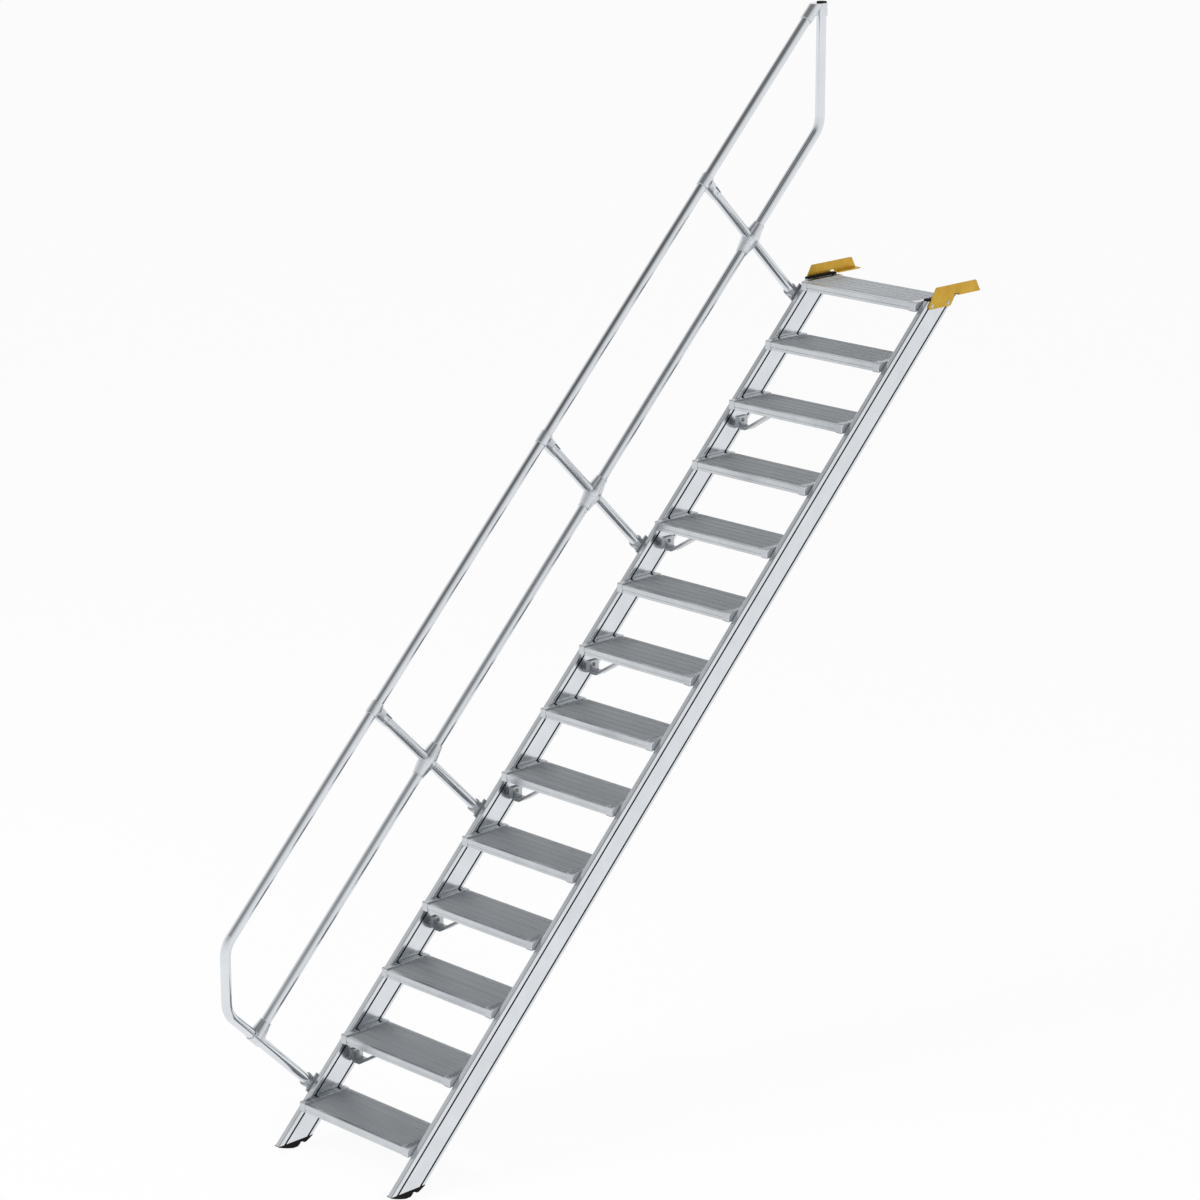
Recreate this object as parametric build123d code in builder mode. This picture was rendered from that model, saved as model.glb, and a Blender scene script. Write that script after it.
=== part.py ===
"""An industrial hook-on stair: aluminium treads between two box stringers, a tube handrail on one side.

Millimetres. X runs across the stair, Y along its going and Z up. The origin is the middle of the flat
underside of the left hook's seat, which rests on the platform that the stair leads to.
"""
import os
from math import atan2, cos, radians, sin, tan

from build123d import *

os.makedirs("parts", exist_ok=True)

# The flight
steps = 14
rise = 209.0
going = 209.0
first_rise = 174.0
tread_width = 600.0
tread_depth = 217.0
tread_height = 31.0

# The seat of the hooks, above the top tread and behind the stringers' upper ends
seat_gap = 15.0
seat_above_tread = 7.0

# The stringers, box sections set on edge
stringer_depth = 116.0
stringer_thick = 25.0
stringer_wall = 2.5
front_corner = 5.0
rear_corner = 2.0
stringer_setback = 31.0
groove_width = 8.0
groove_depth = 6.0
front_band = 17.0
rear_band = 12.0
stringer_top = -2.0
cap_height = 8.0
cap_rounding = 3.0

# The rubber shoes, from the stringer's cut end down to the ground
shoe_height = 26.0
shoe_lip = 3.0
shoe_curve = 70.0
shoe_curve_middle = 16.5
shoe_flat = 22.0
shoe_pad = 104.0
shoe_pad_end = 17.0
shoe_notch = 18.0
shoe_notch_height = 13.0
shoe_heel = 10.0
shoe_heel_height = 19.0

# The treads, a grooved deck over three open channels
deck_thick = 5.0
rib_thick = 3.0
groove_cut = 3.0
groove_sink = 1.5
deck_groove_at = 30.0
deck_groove_pitch = 40.0
deck_groove_count = 5
nose_box = 30.0
rear_box = 18.0
nose_lip = 10.5
nose_lip_setback = 1.5
nose_radius = 2.0
channel_count = 3

# The caps on both ends of a tread, proud of its deck and nose
end_width = 30.0
end_above = 4.5
end_below = 3.0
end_front = 1.5
end_rounding = 5.0
end_edge = 2.5

# The knee brackets on the left stringer, under every second tread
bracket_width = 50.0
bracket_setback = 50.0
bracket_bar = 10.0
bracket_leg = 50.0
bracket_drop = 122.0
bracket_foot = 42.0
bracket_slope = 32.0
bracket_flange = 30.0
bracket_bend = 7.0

# The hooks, steel plates with a seat turned in under their arm
hook_plate = 5.0
seat_width = 30.0
seat_length = 130.0
arm_height = 47.0
arm_slant = 26.0
plate_drop = 35.0
plate_front_inset = 23.5
plate_rear_inset = 0.5
plate_slant = 57.0
plate_corner = 9.0
arm_corner = 6.0
relief_height = 11.0

# The handrail, round tubes beside the left stringer
tube = 40.0
tube_wall = 2.0
rail_gap = 5.0
rail_height = 690.0
knee_height = 321.0
bend_radius = 100.0
first_post = 93.5
first_bend = 508.0
second_post = 1324.0
last_post_inset = 70.5
post_count = 3
post_foot = 120.0
upright_setback = 141.0
elbow_cut = 29.8
joint_gap = 2.0

# The connectors of the tubes
fit = 0.3
sleeve = 48.0
tee_length = 52.0
tee_neck = 90.0
tee_root = 56.0
neck_tip = 46.0
arch_half = 16.0
arch_crown = 40.0
cross_reach = 70.0
cross_root = 70.0
cross_flat = 10.0
slot_room = 0.5
knee_sleeve = 58.0
elbow_height = 52.0
elbow_reach = 130.0
elbow_grip = 28.0
plug_height = 5.0

# The clamps that hold the posts to the stringer
clamp_length = 78.0
clamp_height = 84.0
clamp_over = 9.0
strap_height = 44.0
strap_wall = 4.0
strap_over = 9.0
collar = 54.0
collar_height = 12.0
collar_lap = 2.0
collar_slot = 8.0

# Places that follow from the sizes above
pitch = atan2(rise, going)
stringer_reach = (stringer_top + seat_above_tread) / tan(pitch) + (stringer_setback + stringer_depth) / sin(pitch)
seat_reach = stringer_reach + seat_gap + seat_length / 2
nose_y = -seat_reach - (steps - 1) * going
nose_z = -seat_above_tread - (steps - 1) * rise
ground = nose_z - first_rise
cut_low = ground + shoe_height
outer_left = -seat_width / 2 + hook_plate
inner_left = outer_left + stringer_thick
inner_right = inner_left + tread_width
outer_right = inner_right + stringer_thick
rail_x = outer_left - rail_gap - tube / 2
tube_r = tube / 2
sleeve_r = sleeve / 2
bore_r = tube_r + fit
upslope = (0, cos(pitch), sin(pitch))
outslope = (0, -sin(pitch), cos(pitch))
stringer_front = -stringer_setback
stringer_cut = stringer_depth / sin(pitch)


def on_slope(x, u, v):
    """The point u along the line of the tread fronts and v square to it, at x across."""
    y = nose_y + u * cos(pitch) - v * sin(pitch)
    z = nose_z + u * sin(pitch) + v * cos(pitch)
    return (x, y, z)


def y_on_slope(v, z):
    """Where a line at v square to the slope reaches the height z."""
    return nose_y + ((z - nose_z) * cos(pitch) - v) / sin(pitch)


def u_on_slope(y, z):
    """How far along the slope a point lies."""
    return (y - nose_y) * cos(pitch) + (z - nose_z) * sin(pitch)


def slope_view(x):
    """The side view at x, in lengths along and square to the slope."""
    return Plane(origin=on_slope(x, 0, 0), x_dir=upslope, z_dir=(1, 0, 0))


def level_view(x, y, z):
    """The side view at x, in level and upright lengths from y and z."""
    return Plane(origin=(x, y, z), x_dir=(0, 1, 0), z_dir=(1, 0, 0))


def across_slope(x, u, v):
    """A plane square to the slope, for sections that run up the stair."""
    return Plane(origin=on_slope(x, u, v), x_dir=(1, 0, 0), z_dir=upslope)


def across_post(x, u, v):
    """A plane square to a post, for sections that run out from the slope."""
    return Plane(origin=on_slope(x, u, v), x_dir=(1, 0, 0), z_dir=outslope)


def save(name, part):
    """Labels a piece and writes it."""
    part.label = name
    export_step(part, "parts/" + name + ".step")


# The stringers: three chambers and two deep grooves along each broad face, cut level at both ends
section_low = u_on_slope(nose_y, cut_low) - 2 * stringer_depth
section_high = u_on_slope(0, 0) + stringer_depth
rear_groove = stringer_depth - rear_band - groove_width
groove_places = (front_band + groove_width / 2, rear_groove + groove_width / 2)
chambers = (
    (stringer_wall, front_band - stringer_wall),
    (front_band + groove_width + stringer_wall, rear_groove - stringer_wall),
    (stringer_depth - rear_band + stringer_wall, stringer_depth - stringer_wall),
)

for name, x in (("left_stringer", outer_left), ("right_stringer", inner_right)):
    with BuildPart() as stringer:
        with BuildSketch(across_slope(x + stringer_thick / 2, section_low, stringer_front)) as section:
            with Locations((0, stringer_depth / 2)):
                Rectangle(stringer_thick, stringer_depth)
            fillet(section.vertices().group_by(Axis.Y)[0], radius=front_corner)
            fillet(section.vertices().group_by(Axis.Y)[-1], radius=rear_corner)
            for low, high in chambers:
                with Locations((0, (low + high) / 2)):
                    Rectangle(stringer_thick - 2 * stringer_wall, high - low, mode=Mode.SUBTRACT)
            for place in groove_places:
                with Locations((-stringer_thick / 2, place), (stringer_thick / 2, place)):
                    Rectangle(groove_depth * 2, groove_width, mode=Mode.SUBTRACT)
        extrude(amount=section_high - section_low)
        split(bisect_by=Plane.XY.offset(stringer_top), keep=Keep.BOTTOM)
        split(bisect_by=Plane.XY.offset(cut_low), keep=Keep.TOP)
    save(name, stringer.part)

# The rubber shoes: a lip under the cut end, a rounded pad, a notch and a heel
shoe_front = y_on_slope(stringer_front, cut_low)
heel_start = shoe_pad + shoe_notch
for name, x in (("left_foot", outer_left), ("right_foot", inner_right)):
    with BuildPart() as foot:
        with BuildSketch(level_view(x, shoe_front, cut_low)):
            with BuildLine():
                ThreePointArc(
                    (0, -shoe_lip),
                    (shoe_curve / 2, -shoe_curve_middle),
                    (shoe_curve, -shoe_height),
                )
                Polyline(
                    (shoe_curve, -shoe_height),
                    (shoe_curve + shoe_flat, -shoe_height),
                    (shoe_pad, -shoe_pad_end),
                    (shoe_pad, -shoe_notch_height),
                    (heel_start, -shoe_notch_height),
                    (heel_start, -shoe_heel_height),
                    (heel_start + shoe_heel, -shoe_heel_height),
                    (stringer_cut, -shoe_lip),
                    (stringer_cut, 0),
                    (0, 0),
                    (0, -shoe_lip),
                )
            make_face()
        extrude(amount=stringer_thick)
    save(name, foot.part)

# The caps on the upper ends of the stringers
cap_front = y_on_slope(stringer_front, stringer_top)
for name, x in (("left_end_cap", outer_left), ("right_end_cap", inner_right)):
    with BuildPart() as cap:
        with BuildSketch(Plane.XY.offset(stringer_top)):
            with Locations((x + stringer_thick / 2, cap_front + stringer_cut / 2)):
                Rectangle(stringer_thick, stringer_cut)
        extrude(amount=cap_height)
        fillet(cap.faces().sort_by(Axis.Z)[-1].edges(), radius=cap_rounding)
    save(name, cap.part)

# The treads: a grooved deck with a lip set back under its nose, ribs below and a cap on each end
groove_lines = [deck_groove_at + index * deck_groove_pitch for index in range(deck_groove_count)]
channel_space = tread_depth - nose_box - rear_box - (channel_count - 1) * rib_thick
channel_width = channel_space / channel_count
deck_left = inner_left + end_width
deck_width = tread_width - 2 * end_width

for index in range(steps):
    front = nose_y + index * going
    top = nose_z + index * rise
    with BuildPart() as tread:
        with BuildSketch(level_view(deck_left, front, top)):
            with BuildLine():
                FilletPolyline(
                    (0, 0),
                    (tread_depth, 0),
                    (tread_depth, -tread_height),
                    (nose_lip_setback, -tread_height),
                    (nose_lip_setback, -tread_height + nose_lip),
                    (0, -tread_height + nose_lip + nose_lip_setback),
                    radius=(nose_radius, 0, 0, 0, 0, 0),
                    close=True,
                )
            make_face()
            for channel in range(channel_count):
                with Locations((nose_box + channel * (channel_width + rib_thick), -tread_height)):
                    Rectangle(
                        channel_width,
                        tread_height - deck_thick,
                        align=(Align.MIN, Align.MIN),
                        mode=Mode.SUBTRACT,
                    )
            for place in groove_lines:
                with Locations((place, 0)):
                    Rectangle(groove_cut, 2 * groove_sink, mode=Mode.SUBTRACT)
        extrude(amount=deck_width)
        for x, way in ((inner_left, 1), (inner_right, -1)):
            with BuildSketch(level_view(x, front, top)):
                with BuildLine():
                    FilletPolyline(
                        (-end_front, end_above),
                        (tread_depth, end_above),
                        (tread_depth, -tread_height - end_below),
                        (-end_front, -tread_height - end_below),
                        radius=(end_rounding, 0, 0, end_rounding),
                        close=True,
                    )
                make_face()
            extrude(amount=way * end_width)
        for face in (tread.faces().sort_by(Axis.X)[0], tread.faces().sort_by(Axis.X)[-1]):
            chamfer(face.edges(), length=end_edge)
    save("tread_%02d" % (index + 1), tread.part)

# The knee brackets: a leg on the stringer, a short foot, a brace and a flange under the tread
half_bar = bracket_bar / 2
brace_rise = bracket_drop - bracket_bar - tread_height
brace_run = brace_rise / tan(radians(bracket_slope))
bracket_line = (
    (half_bar, bracket_leg - bracket_drop),
    (half_bar, half_bar - bracket_drop),
    (bracket_foot, half_bar - bracket_drop),
    (bracket_foot + brace_run, -tread_height - half_bar),
    (bracket_foot + brace_run + bracket_flange, -tread_height - half_bar),
)
with BuildPart() as brackets:
    for index in range(1, steps - 1, 2):
        centre_y = nose_y + index * going + bracket_setback + bracket_width / 2
        top = nose_z + index * rise
        with BuildSketch(Plane(origin=(inner_left, centre_y, top), x_dir=(1, 0, 0), z_dir=(0, -1, 0))):
            with BuildLine():
                FilletPolyline(*bracket_line, radius=bracket_bend)
            trace(line_width=bracket_bar)
        extrude(amount=bracket_width / 2, both=True)
save("left_knee_brackets", brackets.part)

# The hooks: a leaning plate on the stringer, an arm above it and a seat turned in under the arm
lean = tan(radians(plate_slant))
plate_low_front = y_on_slope(stringer_front, -plate_drop) + plate_front_inset
plate_low_rear = y_on_slope(stringer_front - stringer_depth, -plate_drop) - plate_rear_inset
plate_rear = plate_low_rear + plate_drop / lean
hook_outline = (
    (plate_low_front + (arm_height + plate_drop) / lean, arm_height),
    (seat_length / 2 - arm_slant, arm_height),
    (seat_length / 2, 0),
    (-seat_length / 2, 0),
    (-seat_length / 2, relief_height),
    (plate_rear, relief_height),
    (plate_rear, 0),
    (plate_low_rear, -plate_drop),
    (plate_low_front, -plate_drop),
)
hook_corners = (arm_corner, arm_corner, 0, 0, 0, 0, 0, plate_corner, plate_corner)
right_seat = outer_right + hook_plate - seat_width
for name, plate_x, seat_x in (
    ("left_hook", -seat_width / 2, -seat_width / 2),
    ("right_hook", outer_right, right_seat),
):
    with BuildPart() as hook:
        with BuildSketch(level_view(plate_x, 0, 0)):
            with BuildLine():
                FilletPolyline(*hook_outline, radius=hook_corners, close=True)
            make_face()
        extrude(amount=hook_plate)
        with BuildSketch(Plane.XY):
            with Locations((seat_x, -seat_length / 2)):
                Rectangle(seat_width, seat_length, align=(Align.MIN, Align.MIN))
        extrude(amount=hook_plate)
    save(name, hook.part)

# The top rail: one tube that rises as the lowest post, bends upright, then runs up the slope
bend_run = (rail_height - first_bend) / cos(pitch)
rail_turn = first_post + bend_run * sin(pitch)
rail_meet_z = nose_z + (rail_height + (-upright_setback - nose_y) * sin(pitch)) / cos(pitch)
rail_meet_u = u_on_slope(-upright_setback, rail_meet_z)
upright_top = rail_meet_z - elbow_cut
elbow_start = rail_meet_u - elbow_reach
with BuildPart() as top_rail:
    with BuildLine(slope_view(rail_x)) as rail_path:
        FilletPolyline(
            (first_post, -post_foot),
            (first_post, first_bend),
            (rail_turn, rail_height),
            (elbow_start + elbow_grip, rail_height),
            radius=bend_radius,
        )
    with BuildSketch(across_post(rail_x, first_post, -post_foot)):
        Circle(tube_r)
        Circle(tube_r - tube_wall, mode=Mode.SUBTRACT)
    sweep()
save("top_rail", top_rail.part)

# The posts, from the clamps on the stringer up to the tees, the last one near the stringer's upper end
last_post = u_on_slope(cap_front, stringer_top) - last_post_inset
post_spacing = (last_post - second_post) / (post_count - 1)
post_places = [second_post + post_spacing * index for index in range(post_count)]
post_top = rail_height - tube_r - joint_gap
for index, place in enumerate(post_places):
    with BuildPart() as post:
        with BuildSketch(across_post(rail_x, place, -post_foot)):
            Circle(tube_r)
            Circle(tube_r - tube_wall, mode=Mode.SUBTRACT)
        extrude(amount=post_top + post_foot)
    save("post_%d" % (index + 1), post.part)

# The knee rail: straight lengths between the posts, and a last one that bends up to the elbow
knee_ends = [first_post] + post_places
butt = tube_r + joint_gap
for index in range(post_count):
    low = knee_ends[index] + butt
    high = knee_ends[index + 1] - butt
    with BuildPart() as knee_rail:
        with BuildSketch(across_slope(rail_x, low, knee_height)):
            Circle(tube_r)
            Circle(tube_r - tube_wall, mode=Mode.SUBTRACT)
        extrude(amount=high - low)
    save("knee_rail_%d" % (index + 1), knee_rail.part)

knee_meet_z = nose_z + (knee_height + (-upright_setback - nose_y) * sin(pitch)) / cos(pitch)
knee_start = knee_ends[-1] + butt
with BuildPart() as upright:
    with BuildLine() as upright_path:
        FilletPolyline(
            on_slope(rail_x, knee_start, knee_height),
            (rail_x, -upright_setback, knee_meet_z),
            (rail_x, -upright_setback, upright_top),
            radius=bend_radius,
        )
    with BuildSketch(across_slope(rail_x, knee_start, knee_height)):
        Circle(tube_r)
        Circle(tube_r - tube_wall, mode=Mode.SUBTRACT)
    sweep()
save("knee_rail_upright", upright.part)


# The tees under the top rail: a sleeve on the rail and an arched neck on the post
for index, place in enumerate(post_places):
    post_axis = Axis(on_slope(rail_x, place, 0), outslope)
    with BuildPart() as tee:
        with BuildSketch(across_slope(rail_x, place - tee_length / 2, rail_height)):
            Circle(sleeve_r)
        extrude(amount=tee_length)
        with BuildSketch(slope_view(rail_x)):
            with BuildLine():
                Polyline(
                    (place, rail_height),
                    (place + tee_root / 2, rail_height - tube_r / 2),
                    (place + neck_tip / 2, rail_height - tee_neck),
                    (place, rail_height - tee_neck),
                    (place, rail_height),
                )
            make_face()
        revolve(axis=post_axis)
        with BuildSketch(slope_view(rail_x)):
            with Locations((place, rail_height - arch_crown - arch_half)):
                Circle(arch_half)
                Rectangle(2 * arch_half, tee_neck, align=(Align.CENTER, Align.MAX))
        extrude(amount=tee_root, both=True, mode=Mode.SUBTRACT)
        with BuildSketch(across_slope(rail_x, place - tee_length, rail_height)):
            Circle(bore_r)
        extrude(amount=2 * tee_length, mode=Mode.SUBTRACT)
        with BuildSketch(across_post(rail_x, place, rail_height - tee_neck)):
            Circle(bore_r)
        extrude(amount=tee_neck - tube_r / 2, mode=Mode.SUBTRACT)
    save("rail_tee_%d" % (index + 1), tee.part)

# The connector at the knee rail's lower end: a sleeve on the lowest post and a neck along the rail
knee_axis = Axis(on_slope(rail_x, 0, knee_height), upslope)
with BuildPart() as knee_tee:
    with BuildSketch(across_post(rail_x, first_post, knee_height - knee_sleeve / 2)):
        Circle(sleeve_r)
    extrude(amount=knee_sleeve)
    with BuildSketch(slope_view(rail_x)):
        with BuildLine():
            Polyline(
                (first_post, knee_height),
                (first_post, knee_height + cross_root / 2),
                (first_post + cross_reach, knee_height + neck_tip / 2),
                (first_post + cross_reach, knee_height),
                close=True,
            )
        make_face()
    revolve(axis=knee_axis)
    with BuildSketch(across_post(rail_x, first_post, knee_height - cross_root)):
        Circle(bore_r)
    extrude(amount=2 * cross_root, mode=Mode.SUBTRACT)
    with BuildSketch(across_slope(rail_x, first_post + tube_r / 2, knee_height)):
        Circle(bore_r)
    extrude(amount=cross_reach, mode=Mode.SUBTRACT)
save("knee_tee", knee_tee.part)

# The connectors at the other posts: leaf-shaped along the rail, with a slot in which the post enters
slot_half = bore_r + slot_room
for index, place in enumerate(post_places):
    with BuildPart() as cross:
        with BuildSketch(slope_view(rail_x)):
            with BuildLine():
                Polyline(
                    (place - cross_reach, knee_height),
                    (place - cross_reach, knee_height + neck_tip / 2),
                    (place - cross_flat / 2, knee_height + cross_root / 2),
                    (place + cross_flat / 2, knee_height + cross_root / 2),
                    (place + cross_reach, knee_height + neck_tip / 2),
                    (place + cross_reach, knee_height),
                    close=True,
                )
            make_face()
        revolve(axis=knee_axis)
        with BuildSketch(slope_view(rail_x)):
            with Locations((place, knee_height + slot_half)):
                Circle(slot_half)
                Rectangle(2 * slot_half, cross_root, align=(Align.CENTER, Align.MIN))
        extrude(amount=cross_root, both=True, mode=Mode.SUBTRACT)
        with BuildSketch(across_post(rail_x, place, knee_height - cross_root)):
            Circle(bore_r)
        extrude(amount=2 * cross_root, mode=Mode.SUBTRACT)
        for way in (1, -1):
            with BuildSketch(across_slope(rail_x, place + way * tube_r / 2, knee_height)):
                Circle(bore_r)
            extrude(amount=way * cross_reach, mode=Mode.SUBTRACT)
    save("knee_cross_%d" % (index + 1), cross.part)

# The elbow on top: a sleeve on the upright and one on the end of the top rail, cut level
with BuildPart() as elbow:
    with BuildSketch(across_slope(rail_x, elbow_start, rail_height)):
        Circle(sleeve_r)
    extrude(amount=elbow_reach)
    split(bisect_by=Plane.XY.offset(upright_top), keep=Keep.BOTTOM)
    with BuildSketch(Plane(origin=(rail_x, -upright_setback, upright_top - elbow_height))):
        Circle(sleeve_r)
    extrude(amount=elbow_height)
    with BuildSketch(Plane(origin=(rail_x, -upright_setback, upright_top - 2 * elbow_height))):
        Circle(bore_r)
    extrude(amount=3 * elbow_height, mode=Mode.SUBTRACT)
    with BuildSketch(across_slope(rail_x, elbow_start, rail_height)):
        Circle(bore_r)
    extrude(amount=elbow_grip + fit, mode=Mode.SUBTRACT)
save("rail_elbow", elbow.part)

# The plug in the top of the upright
with BuildPart() as plug:
    with BuildSketch(Plane(origin=(rail_x, -upright_setback, upright_top))):
        Circle(tube_r)
    extrude(amount=plug_height)
save("upright_plug", plug.part)

# The clamps on the stringer: a plate, a strap round the post's end and a slotted collar above
plate_low = stringer_front + clamp_over - clamp_height
strap_low = stringer_front - strap_over - strap_height
strap_half = bore_r + strap_wall
collar_low = stringer_front + clamp_over - collar_lap
for index, place in enumerate(knee_ends):
    with BuildPart() as clamp:
        with BuildSketch(across_post(outer_left - rail_gap, place, plate_low)):
            Rectangle(rail_gap, clamp_length, align=(Align.MIN, Align.CENTER))
        extrude(amount=clamp_height)
        with BuildSketch(across_post(rail_x, place, strap_low)):
            Circle(strap_half)
            Rectangle(tube_r, 2 * strap_half, align=(Align.MIN, Align.CENTER))
            with Locations((tube_r, 0)):
                Rectangle(strap_wall, clamp_length, align=(Align.MAX, Align.CENTER))
            Circle(bore_r, mode=Mode.SUBTRACT)
            Rectangle(tube_r, 2 * bore_r, align=(Align.MIN, Align.CENTER), mode=Mode.SUBTRACT)
        extrude(amount=strap_height)
        with BuildSketch(across_post(rail_x, place, collar_low)):
            Circle(collar / 2)
            Circle(bore_r, mode=Mode.SUBTRACT)
            Rectangle(collar, collar_slot, align=(Align.MIN, Align.CENTER), mode=Mode.SUBTRACT)
        extrude(amount=collar_height)
    save("post_clamp_%d" % (index + 1), clamp.part)
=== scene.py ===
"""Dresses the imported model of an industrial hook-on stair: finishes, ribs, fasteners, light and camera."""
import logging
from dataclasses import dataclass, replace
from enum import Enum
from functools import cache
from math import acos, atan2, cos, pi, radians, sin, sqrt

import bmesh
import bpy
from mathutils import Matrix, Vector


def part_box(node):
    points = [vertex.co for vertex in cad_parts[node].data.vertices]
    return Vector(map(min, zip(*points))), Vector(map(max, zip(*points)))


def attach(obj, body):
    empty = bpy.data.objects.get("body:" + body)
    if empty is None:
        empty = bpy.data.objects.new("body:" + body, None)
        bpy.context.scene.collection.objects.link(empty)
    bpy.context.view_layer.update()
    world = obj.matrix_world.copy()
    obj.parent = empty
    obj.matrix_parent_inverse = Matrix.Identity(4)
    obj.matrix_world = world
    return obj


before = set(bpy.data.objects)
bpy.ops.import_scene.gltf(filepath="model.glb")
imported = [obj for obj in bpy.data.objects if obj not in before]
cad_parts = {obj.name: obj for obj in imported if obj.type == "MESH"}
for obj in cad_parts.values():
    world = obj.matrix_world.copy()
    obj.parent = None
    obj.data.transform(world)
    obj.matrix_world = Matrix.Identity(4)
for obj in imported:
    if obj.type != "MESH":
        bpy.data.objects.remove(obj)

Socket = bpy.types.NodeSocket
Material = bpy.types.Material
Place = tuple[float, float, float]
Colour = tuple[float, float, float, float]

LOG = logging.getLogger("stair")
BODY = "root"
STEP_COUNT = 14
WORN_LIGHT = 0.88
DUST_SHARE = 0.05
DUST_COLOUR = (0.5, 0.49, 0.47, 1.0)


class Slot(Enum):
    """The record's material slots."""

    STRINGER = "stringer"
    TREAD = "tread"
    RUBBER = "rubber"
    HOOK = "hook"
    BRACKET = "bracket"
    RAIL = "rail"
    FITTING = "fitting"


class Grain(Enum):
    """The direction in which a piece was drawn, as turns in degrees that bring it onto X."""

    ACROSS = (0.0, 0.0, 0.0)
    UP_SLOPE = (-45.0, 0.0, -90.0)
    OUT_OF_SLOPE = (45.0, 0.0, -90.0)
    UPRIGHT = (0.0, 90.0, 0.0)


@dataclass(frozen=True)
class Flight:
    """Where the flight stands: places along its slope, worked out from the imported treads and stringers."""

    nose_y: float
    nose_z: float
    going: float
    rise: float
    inner_left: float
    inner_right: float
    ground: float
    end_front: float = 0.0015
    end_above: float = 0.0045

    @classmethod
    def measured(cls) -> "Flight":
        """Reads the boxes of the frame.

        Returns:
            The flight's places.
        """
        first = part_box("tread_01")
        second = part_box("tread_02")
        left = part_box("left_stringer")
        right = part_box("right_stringer")
        return cls(
            nose_y=first[0].y + cls.end_front,
            nose_z=first[1].z - cls.end_above,
            going=second[0].y - first[0].y,
            rise=second[0].z - first[0].z,
            inner_left=left[1].x,
            inner_right=right[0].x,
            ground=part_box("left_foot")[0].z,
        )

    @property
    def pitch(self) -> float:
        """The slope's angle, in radians."""
        return atan2(self.rise, self.going)

    @property
    def middle_x(self) -> float:
        """The middle of the flight, across."""
        return (self.inner_left + self.inner_right) / 2

    @property
    def upslope(self) -> Vector:
        """The direction up the flight."""
        return Vector((0.0, cos(self.pitch), sin(self.pitch)))

    @property
    def outslope(self) -> Vector:
        """The direction square to the slope, away from the stringers."""
        return Vector((0.0, -sin(self.pitch), cos(self.pitch)))

    def point(self, x: float, u: float, v: float) -> Vector:
        """A place on or off the slope.

        Args:
            x: across the stair.
            u: along the line of the tread fronts, from the lowest.
            v: square to it, outwards.

        Returns:
            The place.
        """
        return Vector((x, self.nose_y, self.nose_z)) + self.upslope * u + self.outslope * v

    def along(self, node: str) -> float:
        """How far up the slope the middle of a node lies.

        Args:
            node: the node's name.

        Returns:
            The length along the slope.
        """
        low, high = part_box(node)
        return ((low + high) / 2 - self.point(0.0, 0.0, 0.0)).dot(self.upslope)


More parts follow.
